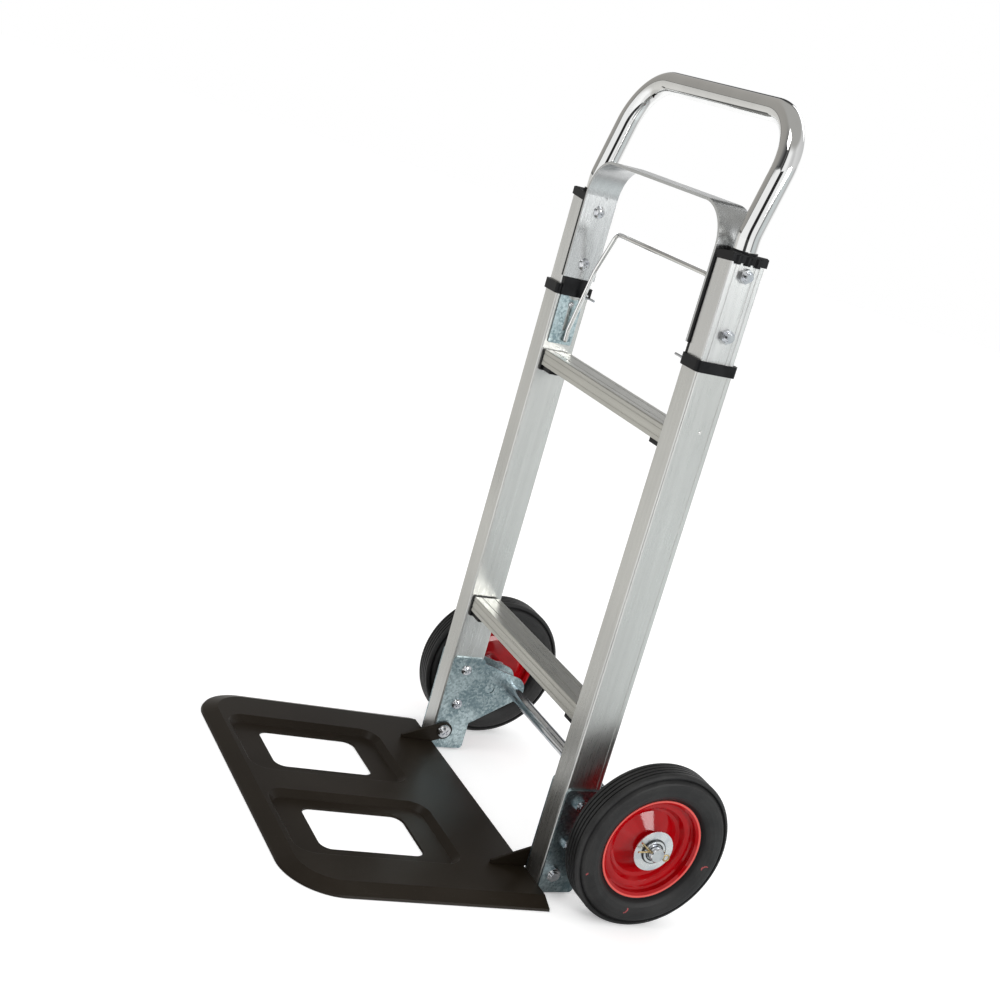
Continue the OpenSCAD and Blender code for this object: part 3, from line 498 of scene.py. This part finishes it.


# ---- Materials of the carried-over solids, by their slot or, for a few nodes, by name ----

# painted shade on the washers: dark rings at these distances from the axle
WASHER_SHADE_RINGS = (9.6 * MM, 13.4 * MM)
SPANGLED = spangled_zinc("spangled_zinc")
BY_SLOT = {
    "tyre_rubber": rubber("tyre_rubber"),
    "red_paint": enamel("red_enamel"),
    "nylon": nylon("nylon"),
    "black_paint": powder_coat("powder_coat"),
    "chrome_tube": chrome("chrome", (0.84, 0.845, 0.84), 0.035),
    "plated_wire": chrome("plated_wire", (0.82, 0.82, 0.81), 0.03),
    "arch_aluminium": drawn_aluminium("arch_aluminium", (0.6, 0.612, 0.615), 0.24, 0.4),
    "crossbar_aluminium": drawn_aluminium("crossbar_aluminium", (0.6, 0.598, 0.56), 0.28, 0.5, along="x"),
    "lower_rail_aluminium": drawn_aluminium("lower_rail_aluminium", (0.68, 0.685, 0.665), 0.28, 0.3),
    "upper_rail_aluminium": drawn_aluminium("upper_rail_aluminium", (0.75, 0.755, 0.745), 0.26, 0.4),
    "black_plastic": moulded_plastic("black_plastic"),
    "rivet_aluminium": drawn_aluminium("rivet_aluminium", (0.7, 0.7, 0.7), 0.35, 0.2),
    "zinc_plate": bright_zinc("bright_zinc"),
}
BY_NODE = {
    "tyre_right": rubber("tyre_rubber_marked", SMEARS),
    "split_pins": brass_wire("brass_wire"),
    "axle_washers": bright_zinc("washer_zinc", (0.9, 0.91, 0.905), 0.28, WASHER_SHADE_RINGS),
}
for side in ("left", "right"):
    for plate in ("latch_plate_", "axle_plate_outer_", "axle_plate_inner_"):
        BY_NODE[plate + side] = SPANGLED

for sub in frame["record"]["subparts"]:
    name, slot = sub["node"], sub["material_slot"]
    smooth(nodes[name], SOLID_CREASE)
    nodes[name].data.materials.clear()
    nodes[name].data.materials.append(BY_NODE.get(name, BY_SLOT[slot]))

# ---- The handle, swept in one smooth piece ----

# turn from one ring of points to the next in a bend, and points in a ring
STEP_ANGLE = math.radians(3)
TUBE_SIDES = 64


def rounded_corner(before, corner, after, radius):
    """Points round one corner of a path."""
    came, goes = (corner - before).normalized(), (after - corner).normalized()
    angle = came.angle(goes)
    start = corner - came * (radius * math.tan(angle / 2))
    normal = came.cross(goes).normalized()
    centre = start + normal.cross(came) * radius
    steps = max(2, round(angle / STEP_ANGLE))
    turns = (Matrix.Rotation(angle * i / steps, 3, normal) for i in range(steps + 1))
    return [centre + turn @ (start - centre) for turn in turns]


def bent_path(points, radii):
    """Points along a path that is rounded at its inner corners."""
    path = [points[0]]
    for before, corner, after, radius in zip(points, points[1:], points[2:], radii):
        path += rounded_corner(before, corner, after, radius)
    return path + [points[-1]]


def ring(shape, centre, side, other, radius):
    turns = (math.tau * k / TUBE_SIDES for k in range(TUBE_SIDES))
    return [shape.verts.new(centre + (side * math.cos(t) + other * math.sin(t)) * radius) for t in turns]


def sweep_mesh(name, path, diameter):
    """Mesh of a round bar along a path, closed at both ends."""
    shape = bmesh.new()
    rings = []
    side = None
    for i, point in enumerate(path):
        ahead = (path[min(i + 1, len(path) - 1)] - path[max(i - 1, 0)]).normalized()
        side = side if side is not None else ahead.orthogonal()
        side = (side - ahead * side.dot(ahead)).normalized()
        rings.append(ring(shape, point, side, ahead.cross(side), diameter / 2))
    for a, b in zip(rings, rings[1:]):
        for k in range(TUBE_SIDES):
            shape.faces.new((a[k - 1], a[k], b[k], b[k - 1]))
    shape.faces.new(rings[0])
    shape.faces.new(reversed(rings[-1]))
    bmesh.ops.recalc_face_normals(shape, faces=shape.faces)
    mesh = bpy.data.meshes.new(name)
    shape.to_mesh(mesh)
    shape.free()
    return mesh


def place_in_scene(name, data):
    obj = bpy.data.objects.new(name, data)
    bpy.context.scene.collection.objects.link(obj)
    return obj


# the bent tube in upright coordinates: its legs' feet, its knees, its loop, and its diameter
LEG_X, LEG_Y, FOOT_Z = 158, 21, 602
KNEE_Z, KNEE_ANGLE, KNEE_RADIUS = 719, math.radians(12.5), 55
LOOP_LENGTH, LOOP_RADIUS = 121, 57
TUBE_DIAMETER = 24 * MM


def handle_path():
    top_y = LEG_Y + LOOP_LENGTH * math.sin(KNEE_ANGLE)
    top_z = KNEE_Z + LOOP_LENGTH * math.cos(KNEE_ANGLE)
    left = [(-LEG_X, LEG_Y, FOOT_Z), (-LEG_X, LEG_Y, KNEE_Z), (-LEG_X, top_y, top_z)]
    right = [(-x, y, z) for x, y, z in reversed(left)]
    radii = [r * MM for r in (KNEE_RADIUS, LOOP_RADIUS, LOOP_RADIUS, KNEE_RADIUS)]
    return bent_path([from_upright(*point) for point in left + right], radii)


handle = place_in_scene("handle_sweep", sweep_mesh("handle_sweep", handle_path(), TUBE_DIAMETER))
smooth(handle, TUBE_CREASE)
handle.data.materials.append(BY_SLOT["chrome_tube"])
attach(handle, "upper_frame")
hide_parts("handle_tube")

# ---- Camera, at the photograph's viewing angle ----

CAMERA_PLACE = (1.41211, -0.83099, 0.74974)
CAMERA_AZIMUTH = math.radians(60.77569)
CAMERA_ELEVATION = math.radians(13.40377)
CAMERA_ROLL = math.radians(19.25142)

camera_data = bpy.data.cameras.new("camera")
camera_data.sensor_width = 36
camera_data.lens = 56.147
camera_data.clip_end = 100
camera = place_in_scene("camera", camera_data)
camera.matrix_world = (Matrix.Translation(CAMERA_PLACE) @ Matrix.Rotation(CAMERA_AZIMUTH, 4, "Z")
                       @ Matrix.Rotation(math.pi / 2 - CAMERA_ELEVATION, 4, "X")
                       @ Matrix.Rotation(CAMERA_ROLL, 4, "Z"))
bpy.context.scene.camera = camera

# ---- The studio that metal mirrors, by heading: 0 is to the left, 0.25 front, 0.5 right, 0.75 back ----

GREY = (0.4, 0.385, 0.362)
WARM = (0.66, 0.65, 0.625)
BLUISH = (0.645, 0.685, 0.69)
# from the floor up to the edge of the screens: white, with warm grey on the left, a black flag where the
# camera stands, a dark line to the right and grey from there to the back
LOW = ((0.0, 0.95), (0.025, WARM), (0.14, WARM), (0.18, 1.0), (0.355, 1.0), (0.367, 0.02), (0.43, 0.02),
       (0.44, 1.0), (0.546, 1.0), (0.554, 0.2), (0.571, 0.24), (0.595, BLUISH), (0.67, BLUISH),
       (0.71, 0.55), (0.75, 0.55), (0.78, 1.0), (1.0, 0.95))
# above the screens: a dim room, bright over the camera and on the wall opposite it
HIGH = ((0.0, GREY), (0.16, (0.34, 0.33, 0.31)), (0.225, 0.16), (0.275, 0.05), (0.31, 0.05), (0.33, 0.16),
        (0.345, 0.04), (0.365, 0.04), (0.38, 1.0), (0.45, 1.0), (0.5, 0.7), (0.54, 0.62), (0.6, 0.78),
        (0.7, 0.68), (0.84, 0.6), (0.88, 0.9), (0.94, 0.9), (0.97, GREY))
# height of the screens' edge, as the sine of its elevation
EDGE = ((0.0, 0.03), (0.17, 0.03), (0.2, 0.27), (0.32, 0.31), (0.38, 0.24), (0.54, 0.2), (0.57, 0.11),
        (0.84, 0.11), (0.9, 0.03), (1.0, 0.03))
EDGE_BLUR = 0.008
# share of that light from higher up, past these sines of elevation: it is dark opposite the camera
CEILING = ((0.0, 1.0), (0.83, 1.0), (0.87, 0.055), (0.94, 0.055), (0.965, 1.0))
CEILING_RISE = (0.25, 0.33)
# past these sines of elevation the room is one even grey
ZENITH = (0.42, 0.415, 0.4)
ZENITH_RISE = (0.62, 0.8)
# a dark seam along the screens' edge, up to this heading
SEAM_WIDTH = (0.012, 0.026)
SEAM_END = (0.34, 0.37)
SEAM_TONE = (0.08, 0.08, 0.08)
# painted shadow: the ground that gloss sees is darker up to these distances from the truck, as the
# truck's own shadow; it is also darker along a dark ring round it on the left
NEAR_SHADOW_REACH = (0.55, 0.95)
NEAR_SHADOW_TONE = (0.02, 0.022, 0.025)
RING_REACH = 1.42
RING_WIDTH = (0.1, 0.18)
RING_END = (0.055, 0.075)
RING_TONE = (0.06, 0.06, 0.06)
WHITE = (1, 1, 1)
# half the floor's side, how much the floor shines, and the plain light that surrounds the truck
FLOOR_HALF = 12
FLOOR_GLOW = 0.33
AMBIENT = 0.8


def mirrored_ground(p):
    """What gloss sees of the floor, with a painted shadow near the truck."""
    x, y, _ = p.parts(p.place())
    around = p.heading(x, y)
    away = p.hypot(x, y)
    dark = p.ramp(p.off(away, RING_REACH), *RING_WIDTH, 0.95, 0)
    dark = p.times(dark, p.ramp(around, *RING_END, 1, 0))
    ground = p.mix(dark, p.band(around, LOW), RING_TONE)
    # painted shadow: darker ground near the truck, as gloss sees it
    return p.mix(p.ramp(away, *NEAR_SHADOW_REACH, 0.2, 0), ground, NEAR_SHADOW_TONE)


def pale_floor(name):
    """White to the camera, with the shadow kept by the diffuse part; gloss sees the studio's ground."""
    p = Paint(name)
    seen, mirrored = p.rays()
    ground = p.mix(mirrored, WHITE, mirrored_ground(p))
    pale = p.mix(p.even_noise(3, 2, 0.5), (0.9, 0.9, 0.9), (0.93, 0.93, 0.93))
    p.set("Base Color", p.mix(1, pale, ground, "MULTIPLY"))
    p.set("Roughness", 0.6)
    p.set("Specular IOR Level", 0.1)
    p.set("Emission Color", ground)
    p.set("Emission Strength", p.times(seen, FLOOR_GLOW))
    return p.mat


def lay_floor():
    data = bpy.data.meshes.new("floor")
    shape = bmesh.new()
    bmesh.ops.create_grid(shape, x_segments=1, y_segments=1, size=FLOOR_HALF)
    shape.to_mesh(data)
    shape.free()
    data.materials.append(pale_floor("floor"))
    place_in_scene("floor", data)


def soft_lamp(name, place, aim, size, power, tone=WHITE):
    data = bpy.data.lights.new(name, "AREA")
    data.shape = "RECTANGLE"
    data.size, data.size_y = size
    data.energy = power
    data.color = tone
    lamp = place_in_scene(name, data)
    lamp.location = place
    lamp.rotation_euler = (Vector(aim) - Vector(place)).to_track_quat("-Z", "Y").to_euler()


def mirrored_room(sky):
    """What gloss sees above the floor."""
    x, y, z = sky.parts(sky.place())
    around = sky.heading(x, y)
    high = sky.band(around, HIGH)
    ceiling = sky.mix(sky.band(around, CEILING), (0, 0, 0), high)
    room = sky.mix(sky.ramp(z, *CEILING_RISE), high, ceiling)
    room = sky.mix(sky.ramp(z, *ZENITH_RISE), room, ZENITH)
    lift = sky.minus(z, sky.band(around, EDGE))
    studio = sky.mix(sky.ramp(lift, -EDGE_BLUR, EDGE_BLUR), sky.band(around, LOW), room)
    seam = sky.ramp(sky.math("ABSOLUTE", lift), *SEAM_WIDTH, 0.85, 0)
    return sky.mix(sky.times(seam, sky.ramp(around, *SEAM_END, 1, 0)), studio, SEAM_TONE)


def surround():
    """White to the camera, the studio to gloss, and plain soft light to the rest."""
    world = bpy.data.worlds.new("world")
    bpy.context.scene.world = world
    world.use_nodes = True
    sky = Graph(world.node_tree, "Generated")
    seen, mirrored = sky.rays()
    backdrop = world.node_tree.nodes["Background"]
    sky.feed(backdrop.inputs["Color"], sky.mix(mirrored, WHITE, mirrored_room(sky)))
    sky.feed(backdrop.inputs["Strength"], sky.ramp(seen, 0, 1, AMBIENT, 1))


TRUCK = (0, 0, 0.4)
RIGHT_WHEEL = (0.22, 0.14, 0.1)
lay_floor()
soft_lamp("key", (0.4, -1.6, 2.6), TRUCK, (1.0, 0.8), 9, (1, 0.985, 0.96))
soft_lamp("window", (2.26, 0.88, 1.11), RIGHT_WHEEL, (0.95, 0.5), 16)
soft_lamp("back", (-1.2, 2.2, 2.2), TRUCK, (1.6, 1.0), 9)
surround()

bpy.context.scene.view_settings.view_transform = "Standard"
